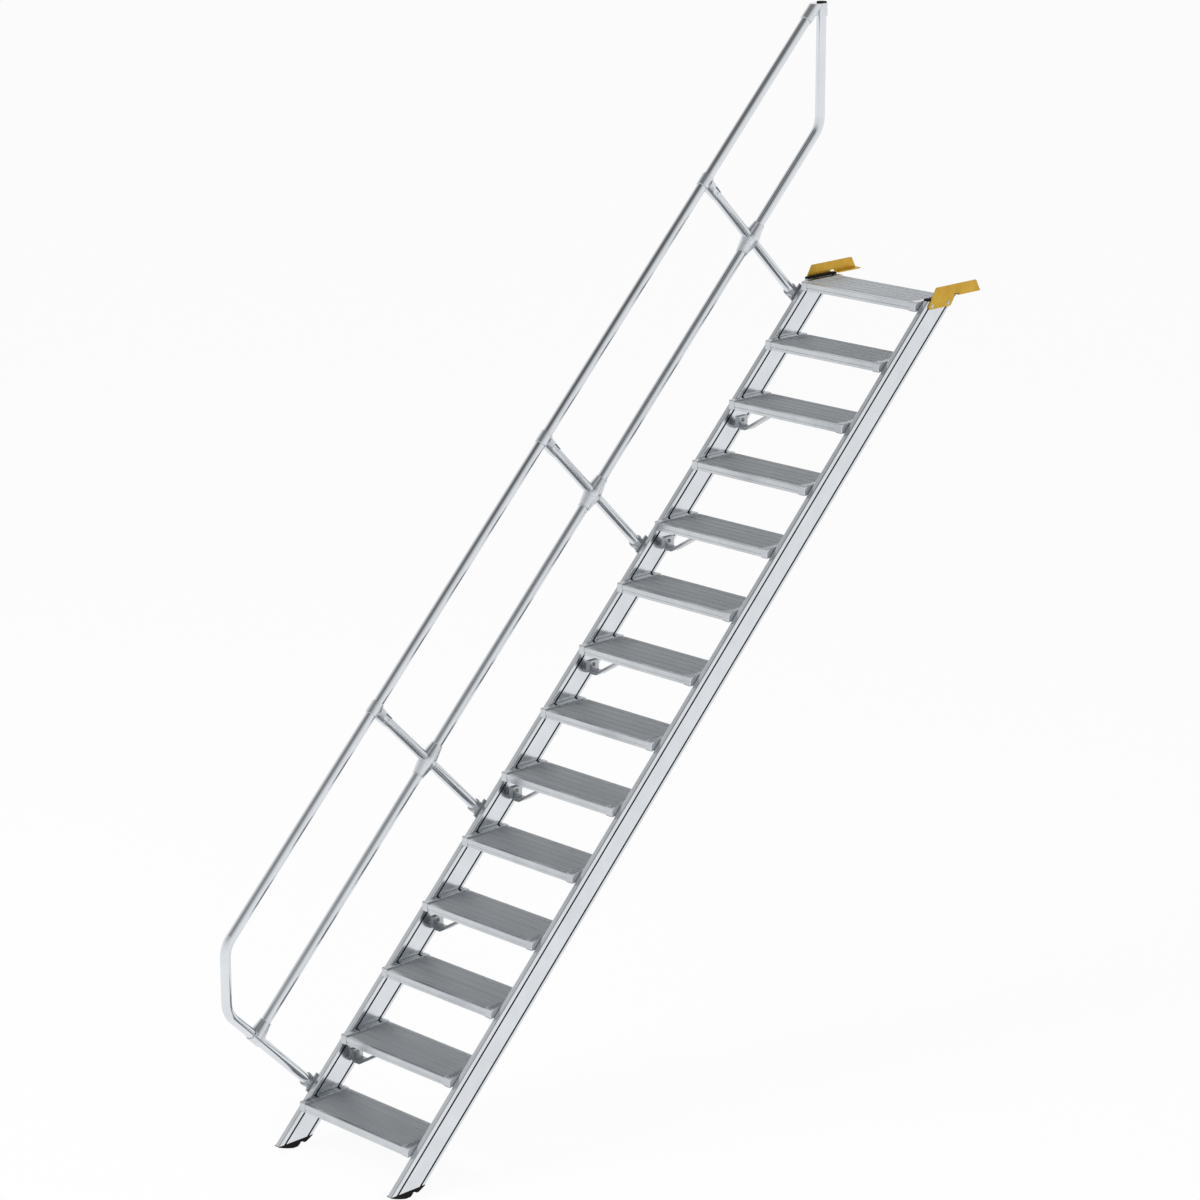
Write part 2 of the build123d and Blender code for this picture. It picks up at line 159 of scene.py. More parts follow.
class NodeSheet:
    """Adds and joins the nodes of one node tree."""

    def __init__(self, tree: bpy.types.NodeTree) -> None:
        """Keeps the tree.

        Args:
            tree: the node tree that nodes are added to.
        """
        self.tree = tree

    @classmethod
    def fresh(cls, owner: Material | bpy.types.World) -> "NodeSheet":
        """Starts the node tree of a material or world afresh.

        Args:
            owner: the material or world.

        Returns:
            The empty sheet.
        """
        owner.use_nodes = True
        owner.node_tree.nodes.clear()
        return cls(owner.node_tree)

    def put(self, value: object, target: Socket) -> None:
        """Feeds an input.

        Args:
            value: an output socket to join, or a plain value to set.
            target: the input.
        """
        if isinstance(value, Socket):
            self.tree.links.new(value, target)
        else:
            target.default_value = value

    def add(self, kind: str, inputs: dict | None = None, **settings: object) -> bpy.types.Node:
        """Adds one node.

        Args:
            kind: the node's type, such as "ShaderNodeMath".
            inputs: values or output sockets by input name or number.
            settings: the node's own settings, such as operation.

        Returns:
            The new node.
        """
        node = self.tree.nodes.new(kind)
        for name, value in settings.items():
            setattr(node, name, value)
        for key, value in (inputs or {}).items():
            self.put(value, node.inputs[key])
        return node

    def math(self, operation: str, *values: object) -> Socket:
        """Adds a Math node.

        Args:
            operation: what it does.
            values: numbers or output sockets, in order.

        Returns:
            Its output socket.
        """
        return self.add("ShaderNodeMath", dict(enumerate(values)), operation=operation).outputs[0]

    def dot(self, first: object, second: object) -> Socket:
        """Multiplies two vectors into one number.

        Args:
            first: a vector or socket.
            second: a vector or socket.

        Returns:
            Their dot product.
        """
        node = self.add("ShaderNodeVectorMath", {0: first, 1: second}, operation="DOT_PRODUCT")
        return node.outputs["Value"]

    def between(self, value: object, low: float, high: float, to_low: object, to_high: object) -> Socket:
        """Maps a value from one range to another, clamped.

        Args:
            value: the socket to map.
            low: the start of the first range.
            high: the end of the first range.
            to_low: what the start becomes.
            to_high: what the end becomes.

        Returns:
            The mapped value's socket.
        """
        inputs = {"Value": value, "From Min": low, "From Max": high, "To Min": to_low, "To Max": to_high}
        return self.add("ShaderNodeMapRange", inputs).outputs["Result"]

    def noise(self, place: Socket, size: object, detail: float, roughness: float = 0.5) -> Socket:
        """Adds a noise texture.

        Args:
            place: the coordinates that it is read at.
            size: how large its features are.
            detail: how many finer layers it has.
            roughness: how strong those layers are.

        Returns:
            Its value.
        """
        scale = self.math("DIVIDE", 1.0, size)
        inputs = {"Vector": place, "Scale": scale, "Detail": detail, "Roughness": roughness}
        return self.add("ShaderNodeTexNoise", inputs).outputs[0]

    def mix(self, share: object, first: object, second: object) -> Socket:
        """Mixes two colours.

        Args:
            share: how much of the second shows.
            first: a colour or socket.
            second: a colour or socket.

        Returns:
            The mixed colour's socket.
        """
        node = self.add("ShaderNodeMix", data_type="RGBA")
        by_name = {(socket.name, socket.type): socket for socket in node.inputs}
        self.put(share, by_name[("Factor", "VALUE")])
        self.put(first, by_name[("A", "RGBA")])
        self.put(second, by_name[("B", "RGBA")])
        return [socket for socket in node.outputs if socket.type == "RGBA"][0]


class Effects:
    """The shader node groups that several finishes share, each built once."""

    @staticmethod
    def group(name: str, inputs: dict[str, object], output: str) -> tuple[NodeSheet, dict, Socket]:
        """Starts an empty group with named sockets.

        Args:
            name: the group's name.
            inputs: default values by input name; None stands for a vector.
            output: the name of its one output, a value.

        Returns:
            The sheet to fill, the input sockets by name, and the socket that takes the result.
        """
        tree = bpy.data.node_groups.new(name, "ShaderNodeTree")
        for label, value in inputs.items():
            kind = "NodeSocketVector" if value is None else "NodeSocketFloat"
            socket = tree.interface.new_socket(label, in_out="INPUT", socket_type=kind)
            if value is not None:
                socket.default_value = value
        tree.interface.new_socket(output, in_out="OUTPUT", socket_type="NodeSocketFloat")
        sheet = NodeSheet(tree)
        entry = sheet.add("NodeGroupInput")
        leave = sheet.add("NodeGroupOutput")
        return sheet, {label: entry.outputs[label] for label in inputs}, leave.inputs[output]

    @staticmethod
    @cache
    def drawn_grain() -> bpy.types.NodeTree:
        """Long fine lines along X, as an extrusion die or a drawing ring leaves them.

        Returns:
            The group: Vector, Length and Width in, Lines from 0 to 1 out.
        """
        inputs = {"Vector": None, "Length": 0.4, "Width": 0.001}
        sheet, entry, lines = Effects.group("drawn grain", inputs, "Lines")
        along = sheet.math("DIVIDE", 1.0, entry["Length"])
        across = sheet.math("DIVIDE", 1.0, entry["Width"])
        scale = sheet.add("ShaderNodeCombineXYZ", {"X": along, "Y": across, "Z": across}).outputs[0]
        place = sheet.add("ShaderNodeVectorMath", {0: entry["Vector"], 1: scale}, operation="MULTIPLY")
        noise = sheet.noise(place.outputs[0], 1.0, 3.0, 0.65)
        sheet.put(sheet.between(noise, 0.25, 0.75, 0.0, 1.0), lines)
        return sheet.tree

    @staticmethod
    @cache
    def cloudy() -> bpy.types.NodeTree:
        """Soft clouds with finer ones inside, for mottled metal and handling marks.

        Returns:
            The group: Vector and Size in, Clouds from 0 to 1 out.
        """
        sheet, entry, clouds = Effects.group("cloudy", {"Vector": None, "Size": 0.08}, "Clouds")
        noise = sheet.noise(entry["Vector"], entry["Size"], 5.0, 0.6)
        sheet.put(sheet.between(noise, 0.3, 0.7, 0.0, 1.0), clouds)
        return sheet.tree

    @staticmethod
    @cache
    def worn_edge() -> bpy.types.NodeTree:
        """A mask along sharp edges, broken up by noise.

        Returns:
            The group: Vector, Radius and Breakup in, Mask from 0 to 1 out.
        """
        inputs = {"Vector": None, "Radius": 0.0015, "Breakup": 0.01}
        sheet, entry, mask = Effects.group("worn edge", inputs, "Mask")
        rounded = sheet.add("ShaderNodeBevel", {"Radius": entry["Radius"]}, samples=4).outputs[0]
        flat = sheet.add("ShaderNodeNewGeometry").outputs["Normal"]
        edge = sheet.between(sheet.dot(rounded, flat), 0.995, 0.85, 0.0, 1.0)
        noise = sheet.noise(entry["Vector"], entry["Breakup"], 3.0)
        broken = sheet.between(noise, 0.3, 0.6, 0.25, 1.0)
        sheet.put(sheet.math("MULTIPLY", edge, broken), mask)
        return sheet.tree

    @staticmethod
    @cache
    def settled_dust() -> bpy.types.NodeTree:
        """A thin veil on faces that look up, in soft patches.

        Returns:
            The group: Vector and Size in, Veil from 0 to 1 out.
        """
        sheet, entry, veil = Effects.group("settled dust", {"Vector": None, "Size": 0.05}, "Veil")
        normal = sheet.add("ShaderNodeNewGeometry").outputs["Normal"]
        parts = sheet.add("ShaderNodeSeparateXYZ", {0: normal})
        facing = sheet.between(parts.outputs["Z"], 0.4, 1.0, 0.0, 1.0)
        noise = sheet.noise(entry["Vector"], entry["Size"], 6.0)
        patches = sheet.between(noise, 0.35, 0.75, 0.0, 1.0)
        sheet.put(sheet.math("MULTIPLY", facing, patches), veil)
        return sheet.tree


class Surface:
    """The material of one finish while it is being put together."""

    def __init__(self, name: str, grain: Grain = Grain.ACROSS) -> None:
        """Starts a material with its shader and its coordinates.

        Args:
            name: the material's name.
            grain: the direction that is turned onto X.
        """
        self.material = bpy.data.materials.new(name)
        self.sheet = NodeSheet.fresh(self.material)
        self.shader = self.sheet.add("ShaderNodeBsdfPrincipled")
        self.sheet.add("ShaderNodeOutputMaterial", {"Surface": self.shader.outputs[0]})
        self.place = self.sheet.add("ShaderNodeTexCoord").outputs["Object"]
        turn = tuple(radians(angle) for angle in grain.value)
        mapping = self.sheet.add("ShaderNodeMapping", {"Vector": self.place, "Rotation": turn})
        self.along = mapping.outputs[0]
        self.colour: Socket | None = None
        self.rough: Socket | None = None

    def effect(self, group: bpy.types.NodeTree, **values: object) -> Socket:
        """Places a shared effect in this material.

        Args:
            group: the effect's node group.
            values: its inputs by name; the vector is the place on the piece unless given.

        Returns:
            Its output socket.
        """
        inputs = {"Vector": self.place, **values}
        return self.sheet.add("ShaderNodeGroup", inputs, node_tree=group).outputs[0]

    def grain(self, length: float, width: float) -> Socket:
        """Places the drawn grain, along the piece.

        Args:
            length: how long its lines are.
            width: how wide they are.

        Returns:
            Its lines.
        """
        return self.effect(Effects.drawn_grain(), Vector=self.along, Length=length, Width=width)

    def relief(self, height: Socket, depth: float, rounding: float) -> None:
        """Rounds the edges a little and adds fine bumps.

        Args:
            height: the bumps' mask.
            depth: how deep they are, in metres.
            rounding: the radius that sharp edges are given.
        """
        inputs = {"Height": height, "Distance": depth, "Strength": 1.0}
        if rounding > 0:
            inputs["Normal"] = self.sheet.add("ShaderNodeBevel", {"Radius": rounding}, samples=4).outputs[0]
        self.feed(Normal=self.sheet.add("ShaderNodeBump", inputs).outputs[0])

    def feed(self, **sockets: object) -> None:
        """Joins sockets or values to the shader.

        Args:
            sockets: what goes in, by input name with underscores for spaces.
        """
        for name, value in sockets.items():
            self.sheet.put(value, self.shader.inputs[name.replace("_", " ")])


def grey(value: float) -> Colour:
    """A neutral colour.

    Args:
        value: its brightness.

    Returns:
        The colour with full alpha.
    """
    return (value, value, value, 1.0)


def cool(value: float) -> Colour:
    """The slightly blue grey of clean aluminium.

    Args:
        value: its brightness.

    Returns:
        The colour with full alpha.
    """
    return (value * 0.962, value, value * 1.042, 1.0)


@dataclass(frozen=True)
class DrawnAluminium:
    """Mill-finish aluminium, extruded or drawn, with grain along its length."""

    name: str
    grain: Grain
    light: float = 0.78
    dark: float = 0.72
    roughness: float = 0.16
    roughness_spread: tuple[float, float] = (0.9, 1.2)
    grain_length: float = 0.6
    grain_width: float = 0.0012
    grain_depth: float = 0.000004
    cloud_size: float = 0.09
    rounding: float = 0.0008
    band_length: float = 1.4
    band_width: float = 0.006
    band_share: float = 0.12
    band_lift: float = 1.08
    streak_length: float = 0.9
    streak_width: float = 0.007
    worn_share: float = 0.4

    def metal(self, surface: Surface) -> Socket:
        """The bare metal's colour: faint clouds and bands along the grain.

        Args:
            surface: the material being made.

        Returns:
            The colour.
        """
        sheet = surface.sheet
        bands = surface.grain(self.band_length, self.band_width)
        clouds = surface.effect(Effects.cloudy(), Size=self.cloud_size)
        body = sheet.mix(clouds, cool(self.dark), cool(self.light))
        share = sheet.between(bands, 0.0, 1.0, 0.0, self.band_share)
        return sheet.mix(share, body, cool(self.light * self.band_lift))

    def streaked(self, surface: Surface, dark: float, light: float) -> Socket:
        """The colour of a ribbed deck: streaks of two greys along the ribs.

        Args:
            surface: the material being made.
            dark: the darker grey.
            light: the lighter grey.

        Returns:
            The colour.
        """
        streaks = surface.grain(self.streak_length, self.streak_width)
        return surface.sheet.mix(streaks, cool(dark), cool(light))

    def zones(self, surface: Surface) -> None:
        """Changes parts of the surface that look different. Plain metal has none.

        Args:
            surface: the material being made, with its colour and roughness so far.
        """

    def build(self) -> Material:
        """Makes the material.

        Returns:
            The finished material.
        """
        surface = Surface(self.name, self.grain)
        sheet = surface.sheet
        lines = surface.grain(self.grain_length, self.grain_width)
        smooth, coarse = (self.roughness * share for share in self.roughness_spread)
        surface.colour = self.metal(surface)
        surface.rough = sheet.between(lines, 0.0, 1.0, smooth, coarse)
        self.zones(surface)
        if self.rounding > 0:
            worn = sheet.math("MULTIPLY", surface.effect(Effects.worn_edge()), self.worn_share)
            surface.colour = sheet.mix(worn, surface.colour, cool(WORN_LIGHT))
        dust = sheet.math("MULTIPLY", surface.effect(Effects.settled_dust()), DUST_SHARE)
        dusty = sheet.mix(dust, surface.colour, DUST_COLOUR)
        surface.feed(Base_Color=dusty, Roughness=surface.rough, Metallic=1.0)
        surface.relief(lines, self.grain_depth, self.rounding)
        return surface.material


@dataclass(frozen=True)
class StringerAluminium(DrawnAluminium):
    """Aluminium of the stringers, with painted shade making the deep grooves of their broad faces nearly
    black.
    """

    flight: Flight | None = None
    half_thick: float = 0.0125
    lit_rim: float = 0.0003
    groove_half: float = 0.0043
    groove_places: tuple[float, float] = (-0.052, -0.131)
    # near-black grey of the painted shade in the grooves
    groove_shade_grey: float = 0.05
    groove_roughness: float = 0.6

    def zones(self, surface: Surface) -> None:
        """Paints shade into the grooves: darkens the inside of each groove to near black and roughens it, in
        place of the shade in the deep channel.

        Args:
            surface: the material being made, with its colour and roughness so far.
        """
        sheet = surface.sheet
        flight = self.flight
        out = sheet.dot(surface.place, flight.outslope)
        start = flight.point(0.0, 0.0, 0.0).dot(flight.outslope)
        x = sheet.add("ShaderNodeSeparateXYZ", {0: surface.place}).outputs["X"]
        from_middle = sheet.math("ABSOLUTE", sheet.math("SUBTRACT", x, flight.middle_x))
        half_span = flight.middle_x - flight.inner_left + self.half_thick
        across = sheet.math("ABSOLUTE", sheet.math("SUBTRACT", from_middle, half_span))
        sunk = sheet.math("LESS_THAN", across, self.half_thick - self.lit_rim)
        first, second = (
            sheet.math("COMPARE", out, start + place, self.groove_half) for place in self.groove_places
        )
        # painted shade: the mask of the groove insides, which are darkened to near black
        inside = sheet.math("MULTIPLY", sheet.math("MAXIMUM", first, second), sunk)
        surface.colour = sheet.mix(inside, surface.colour, cool(self.groove_shade_grey))
        surface.rough = sheet.between(inside, 0.0, 1.0, surface.rough, self.groove_roughness)


@dataclass(frozen=True)
class TreadAluminium(DrawnAluminium):
    """Aluminium of the treads: a smooth nose and front edge, with painted shade darkening the caps and the
    ribbed deck, and the deck rougher.
    """

    flight: Flight | None = None
    # greys of the painted shade on the tops of the treads
    deck_light: float = 0.56
    deck_dark: float = 0.45
    deck_roughness: float = 0.42
    cap_width: float = 0.030
    smooth_front: float = 0.013
    facing_up: float = 0.5

    def zones(self, surface: Surface) -> None:
        """Paints shade on the faces that look up behind the smooth front edge, in darker streaked greys, and
        roughens the deck between the caps.

        Args:
            surface: the material being made, with its colour and roughness so far.
        """
        sheet = surface.sheet
        flight = self.flight
        normal = sheet.add("ShaderNodeNewGeometry").outputs["Normal"]
        rise = sheet.add("ShaderNodeSeparateXYZ", {0: normal}).outputs["Z"]
        parts = sheet.add("ShaderNodeSeparateXYZ", {0: surface.place}).outputs
        from_nose = sheet.math("SUBTRACT", parts["Y"], flight.nose_y)
        depth = sheet.math("FLOORED_MODULO", from_nose, flight.going)
        behind = sheet.math("GREATER_THAN", depth, self.smooth_front)
        # painted shade: the mask of the faces that look up, behind the front edge
        painted_shade = sheet.math("MULTIPLY", sheet.math("GREATER_THAN", rise, self.facing_up), behind)
        half = flight.middle_x - flight.inner_left - self.cap_width
        between_caps = sheet.math("COMPARE", parts["X"], flight.middle_x, half)
        deck = sheet.math("MULTIPLY", painted_shade, between_caps)
        # painted shade: the darker streaked greys that the tops take
        dull = self.streaked(surface, self.deck_dark, self.deck_light)
        surface.colour = sheet.mix(painted_shade, surface.colour, dull)
        surface.rough = sheet.between(deck, 0.0, 1.0, surface.rough, self.deck_roughness)


@dataclass(frozen=True)
class RibAluminium(DrawnAluminium):
    """Aluminium of the deck's fine ribs, in the same painted-shade greys as their deck, with faint streaks
    along them.
    """

    def metal(self, surface: Surface) -> Socket:
        """The ribs' colour.

        Args:
            surface: the material being made.

        Returns:
            The colour.
        """
        return self.streaked(surface, self.dark, self.light)


@dataclass(frozen=True)
class MottledFinish:
    """A finish of soft clouds with a fine skin and worn edges, such as cast metal, zinc or rubber."""

    name: str
    dark: Colour
    light: Colour
    worn: Colour
    worn_share: float
    worn_radius: float
    roughness: tuple[float, float]
    cloud_size: float
    skin_size: float
    skin_depth: float
    rounding: float
    metallic: float = 1.0
    specular: float = 0.5
    drift: Colour | None = None
    drift_size: float = 0.11
    drift_start: float = 0.4
    drift_share: float = 0.5

    def build(self) -> Material:
        """Makes the material.

        Returns:
            The finished material.
        """
        surface = Surface(self.name)
        sheet = surface.sheet
        skin = surface.effect(Effects.cloudy(), Size=self.skin_size)
        clouds = surface.effect(Effects.cloudy(), Size=self.cloud_size)
        body = sheet.mix(clouds, self.dark, self.light)
        if self.drift is not None:
            wide = surface.effect(Effects.cloudy(), Size=self.drift_size)
            share = sheet.between(wide, self.drift_start, 1.0, 0.0, self.drift_share)
            body = sheet.mix(share, body, self.drift)
        mask = surface.effect(Effects.worn_edge(), Radius=self.worn_radius)
        edged = sheet.mix(sheet.math("MULTIPLY", mask, self.worn_share), body, self.worn)
        rough = sheet.between(clouds, 0.0, 1.0, *self.roughness)
        surface.feed(Base_Color=edged, Roughness=rough)
        surface.feed(Metallic=self.metallic, Specular_IOR_Level=self.specular)
        surface.relief(skin, self.skin_depth, self.rounding)
        return surface.material


# Cast and tumbled aluminium, smooth with a faint orange-peel skin
CAST_ALUMINIUM = MottledFinish(
    name="cast aluminium",
    dark=cool(0.70),
    light=cool(0.78),
    worn=cool(WORN_LIGHT),
    worn_share=0.5,
    worn_radius=0.002,
    roughness=(0.276, 0.204),
    cloud_size=0.03,
    skin_size=0.003,
    skin_depth=0.00002,
    rounding=0.0012,
)
# Yellow chromated zinc on steel plate: a thin ochre film with a faint rainbow drift
YELLOW_ZINC = MottledFinish(
    name="yellow zinc",
    dark=(0.55, 0.31, 0.025, 1.0),
    light=(0.65, 0.40, 0.05, 1.0),
    worn=(0.72, 0.52, 0.2, 1.0),
    worn_share=0.45,
    worn_radius=0.0012,
    roughness=(0.42, 0.3),
    cloud_size=0.035,
    skin_size=0.0016,
    skin_depth=0.00003,
    rounding=0.0007,
    metallic=0.75,
    drift=(0.58, 0.40, 0.06, 1.0),
)
# Moulded black rubber, matt, a little paler where it is worn
BLACK_RUBBER = MottledFinish(
    name="black rubber",
    dark=grey(0.004),
    light=grey(0.0064),
    worn=grey(0.02),
    worn_share=0.5,
    worn_radius=0.0015,
    roughness=(0.7, 0.58),
    cloud_size=0.02,
    skin_size=0.0012,
    skin_depth=0.00005,
    rounding=0.001,
    metallic=0.0,
    specular=0.12,
)
# Bright zinc for bolts and screws, with dull spots
BRIGHT_ZINC = MottledFinish(
    name="bright zinc",
    dark=cool(0.46),
    light=cool(0.66),
    worn=grey(0.8),
    worn_share=0.6,
    worn_radius=0.0008,
    roughness=(0.364, 0.224),
    cloud_size=0.006,
    skin_size=0.006,
    skin_depth=0.00003,
    rounding=0.0004,
)


def new_object(name: str, data: bpy.types.ID) -> bpy.types.Object:
    """Adds an object to the scene.

    Args:
        name: its name.
        data: its mesh, lamp or camera.

    Returns:
        The new object.
    """
    piece = bpy.data.objects.new(name, data)
    bpy.context.scene.collection.objects.link(piece)
    return piece


class Mesher:
    """Collects closed solids in one mesh and turns them into a piece that rides on the stair."""

    def __init__(self, name: str) -> None:
        """Starts an empty piece.

        Args:
            name: the piece's name.
        """
        self.name = name
        self.mesh = bmesh.new()

    def turned(
        self,
        place: Vector,
        axis: Vector,
        rings: list[tuple[float, float]],
        sides: int,
        twist: float = 0.0,
        hollow: bool = False,
    ) -> None:
        """Adds a closed solid of rings along an axis, such as a washer or a hexagon head.

        Args:
            place: the middle of its foot.
            axis: the direction it stands in.
            rings: radius and height of each ring, from the foot up.
            sides: corners of each ring.
            twist: turn of the first corner, in radians.
            hollow: whether the last ring joins the first, as in a hoop, instead of flat ends.
        """
        to_world = Vector(axis).to_track_quat("Z", "Y").to_matrix()
        loops = []
        for radius, height in rings:
            loop = []
            for side in range(sides):
                angle = twist + 2 * pi * side / sides
                point = Vector((radius * cos(angle), radius * sin(angle), height))
                loop.append(self.mesh.verts.new(Vector(place) + to_world @ point))
            loops.append(loop)
        following = loops[1:] + loops[:1] if hollow else loops[1:]
        for low, high in zip(loops, following):
            for side in range(sides):
                after = (side + 1) % sides
                self.mesh.faces.new((low[side], low[after], high[after], high[side]))
        if not hollow:
            self.mesh.faces.new(list(reversed(loops[0])))
            self.mesh.faces.new(loops[-1])

    def prism(self, outline: list[Vector], along: Vector) -> None:
        """Adds a straight closed solid.

        Args:
            outline: corners of one end.
            along: from that end to the other.
        """
        first = [self.mesh.verts.new(point) for point in outline]
        last = [self.mesh.verts.new(point + along) for point in outline]
        count = len(outline)
        for corner in range(count):
            after = (corner + 1) % count
            self.mesh.faces.new((first[corner], first[after], last[after], last[corner]))
        self.mesh.faces.new(list(reversed(first)))
        self.mesh.faces.new(last)

    def finish(self, slot: Slot, material: Material, smooth_angle: float = 35.0) -> None:
        """Makes the object, which rides on the stair.

        Args:
            slot: the record's slot that it belongs to; not used.
            material: its finish.
            smooth_angle: edges flatter than this are shaded smooth, in degrees.
        """
        bmesh.ops.recalc_face_normals(self.mesh, faces=self.mesh.faces[:])
        data = bpy.data.meshes.new(self.name)
        self.mesh.to_mesh(data)
        self.mesh.free()
        data.materials.append(material)
        piece = new_object(self.name, data)
        data.shade_smooth()
        data.set_sharp_from_angle(angle=radians(smooth_angle))
        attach(piece, BODY)
        LOG.info("%s: %d faces", self.name, len(data.polygons))


@dataclass(frozen=True)
class Fastener:
    """A bolt head or nut on its washer, standing on a face."""

    across: float = 0.013
    height: float = 0.006
    washer: float = 0.010
    washer_height: float = 0.0015
    washer_edge: float = 0.0003
    chamfer: float = 0.0008
    chamfer_slant: float = 1.6
    stud_share: float = 0.28
    stud_rise: float = 0.001
    stud_top: float = 0.0016
    stud_taper: float = 0.8
    stud_sides: int = 20
    round_sides: int = 28
    dome_steps: int = 6

    def hexagon(self, mesher: Mesher, place: Vector, axis: Vector, twist: float = 0.0) -> None:
        """Adds a hexagon head on a round washer, with the stud's end in it.

        Args:
            mesher: the piece that it joins.
            place: where the washer rests.
            axis: away from the face.
            twist: turn of the head.
        """
        edge = self.washer_edge
        washer = [
            (self.washer - edge, 0.0),
            (self.washer, edge),
            (self.washer, self.washer_height - edge),
            (self.washer - edge, self.washer_height),
        ]
        mesher.turned(place, axis, washer, self.round_sides)
        radius = self.across / 2 / cos(pi / 6)
        top = self.washer_height + self.height
        head = [
            (radius, self.washer_height),
            (radius, top - self.chamfer),
            (radius - self.chamfer_slant * self.chamfer, top),
        ]
        mesher.turned(place, axis, head, 6, twist)
        stud = self.across * self.stud_share
        tip = [
            (stud, top - self.chamfer),
            (stud, top + self.stud_rise),
            (stud * self.stud_taper, top + self.stud_top),
        ]
        mesher.turned(place, axis, tip, self.stud_sides)

    def button(self, mesher: Mesher, place: Vector, axis: Vector) -> None:
        """Adds a low domed head on its washer.

        Args:
            mesher: the piece that it joins.
            place: where the washer rests.
            axis: away from the face.
        """
        radius = self.across / 2
        rings = [(self.washer, 0.0), (self.washer, self.washer_height), (radius, self.washer_height)]
        for step in range(1, self.dome_steps):
            angle = step * pi / (2 * self.dome_steps)
            rings.append((radius * cos(angle), self.washer_height + self.height * sin(angle)))
        mesher.turned(place, axis, rings, self.round_sides)


@dataclass
class Finishes:
    """Every material of the stair."""

    stringer: Material
    tread: Material
    deck_rib: Material
    top_tread: Material
    top_rib: Material
    rail: Material
    post: Material
    upright: Material
    bracket: Material
    fitting: Material
    clamp: Material
    hook: Material
    rubber: Material
    bolt: Material

    @classmethod
    def build(cls, flight: Flight) -> "Finishes":
        """Makes them all.

        Args:
            flight: where the flight stands.

        Returns:
            The set of materials.
        """
        tube = {"roughness": 0.095, "cloud_size": 0.12, "rounding": 0.0, "grain_depth": 0.0000008}
        tread = {"grain": Grain.ACROSS, "roughness": 0.22, "light": 0.65, "dark": 0.56, "flight": flight}
        rib = {"grain": Grain.ACROSS, "roughness": 0.38, "rounding": 0.0}
        # painted shade: darker greys for the decks and ribs of the lower treads, which the tread above
        # shades
        painted_shade = {"light": 0.56, "dark": 0.45}
        # lighter greys for the top tread, which no tread shades: the lit copy of the same deck
        fresh = {"light": 0.80, "dark": 0.68}
        return cls(
            stringer=StringerAluminium(
                "stringer aluminium", Grain.UP_SLOPE, light=0.76, dark=0.69, flight=flight
            ).build(),
            tread=TreadAluminium("tread aluminium", **tread).build(),
            deck_rib=RibAluminium("trodden rib aluminium", **painted_shade, **rib).build(),
            # the top tread is the lit copy of the tread finish, with lighter deck greys
            top_tread=TreadAluminium(
                "top tread aluminium", deck_light=fresh["light"], deck_dark=fresh["dark"], **tread
            ).build(),
            top_rib=RibAluminium("unshaded rib aluminium", **fresh, **rib).build(),
            rail=DrawnAluminium("rail aluminium", Grain.UP_SLOPE, **tube).build(),
            post=DrawnAluminium("post aluminium", Grain.OUT_OF_SLOPE, **{**tube, "roughness": 0.2}).build(),
            upright=DrawnAluminium("upright aluminium", Grain.UPRIGHT, **tube).build(),
            # painted shade: the brackets under the treads take darker greys than the other aluminium
            bracket=DrawnAluminium(
                "bracket aluminium", Grain.ACROSS, light=0.52, dark=0.44, roughness=0.26
            ).build(),
            fitting=CAST_ALUMINIUM.build(),
            clamp=replace(
                CAST_ALUMINIUM,
                name="clamp aluminium",
                dark=cool(0.46),
                light=cool(0.56),
                roughness=(0.345, 0.255),
            ).build(),
            hook=YELLOW_ZINC.build(),
            rubber=BLACK_RUBBER.build(),
            bolt=BRIGHT_ZINC.build(),
        )


def dress(material: Material, *nodes: str) -> None:
    """Gives nodes of the frame their finish.

    Args:
        material: the finish.
        nodes: names of the nodes.
    """
    for node in nodes:
        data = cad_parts[node].data
        data.materials.clear()
        data.materials.append(material)
        LOG.info("%s: %s", node, material.name)


def numbered(stem: str, count: int) -> list[str]:
    """Names that differ in their number.

    Args:
        stem: what they start with.
        count: how many there are.

    Returns:
        The names, counted from 1.
    """
    return [f"{stem}_{index + 1}" for index in range(count)]


def trapezoid(foot: float, top: float, height: float) -> tuple[tuple[float, float], ...]:
    """The section of a small bar.

    Args:
        foot: its width at the bottom.
        top: its width at the top.
        height: how high it stands.

    Returns:
        Its corners, each as side and height.
    """
    return ((-foot / 2, 0.0), (foot / 2, 0.0), (top / 2, height), (-top / 2, height))


@dataclass
class Assembly:
    """A part of the stair, with what all parts use."""

    finishes: Finishes
    flight: Flight


@dataclass
class Stringers(Assembly):
    """The two box stringers, their shoes and their end caps."""

    def build(self) -> None:
        """Dresses the stringers and their rubber ends."""
        dress(self.finishes.stringer, "left_stringer", "right_stringer")
        dress(self.finishes.rubber, "left_foot", "right_foot", "left_end_cap", "right_end_cap")


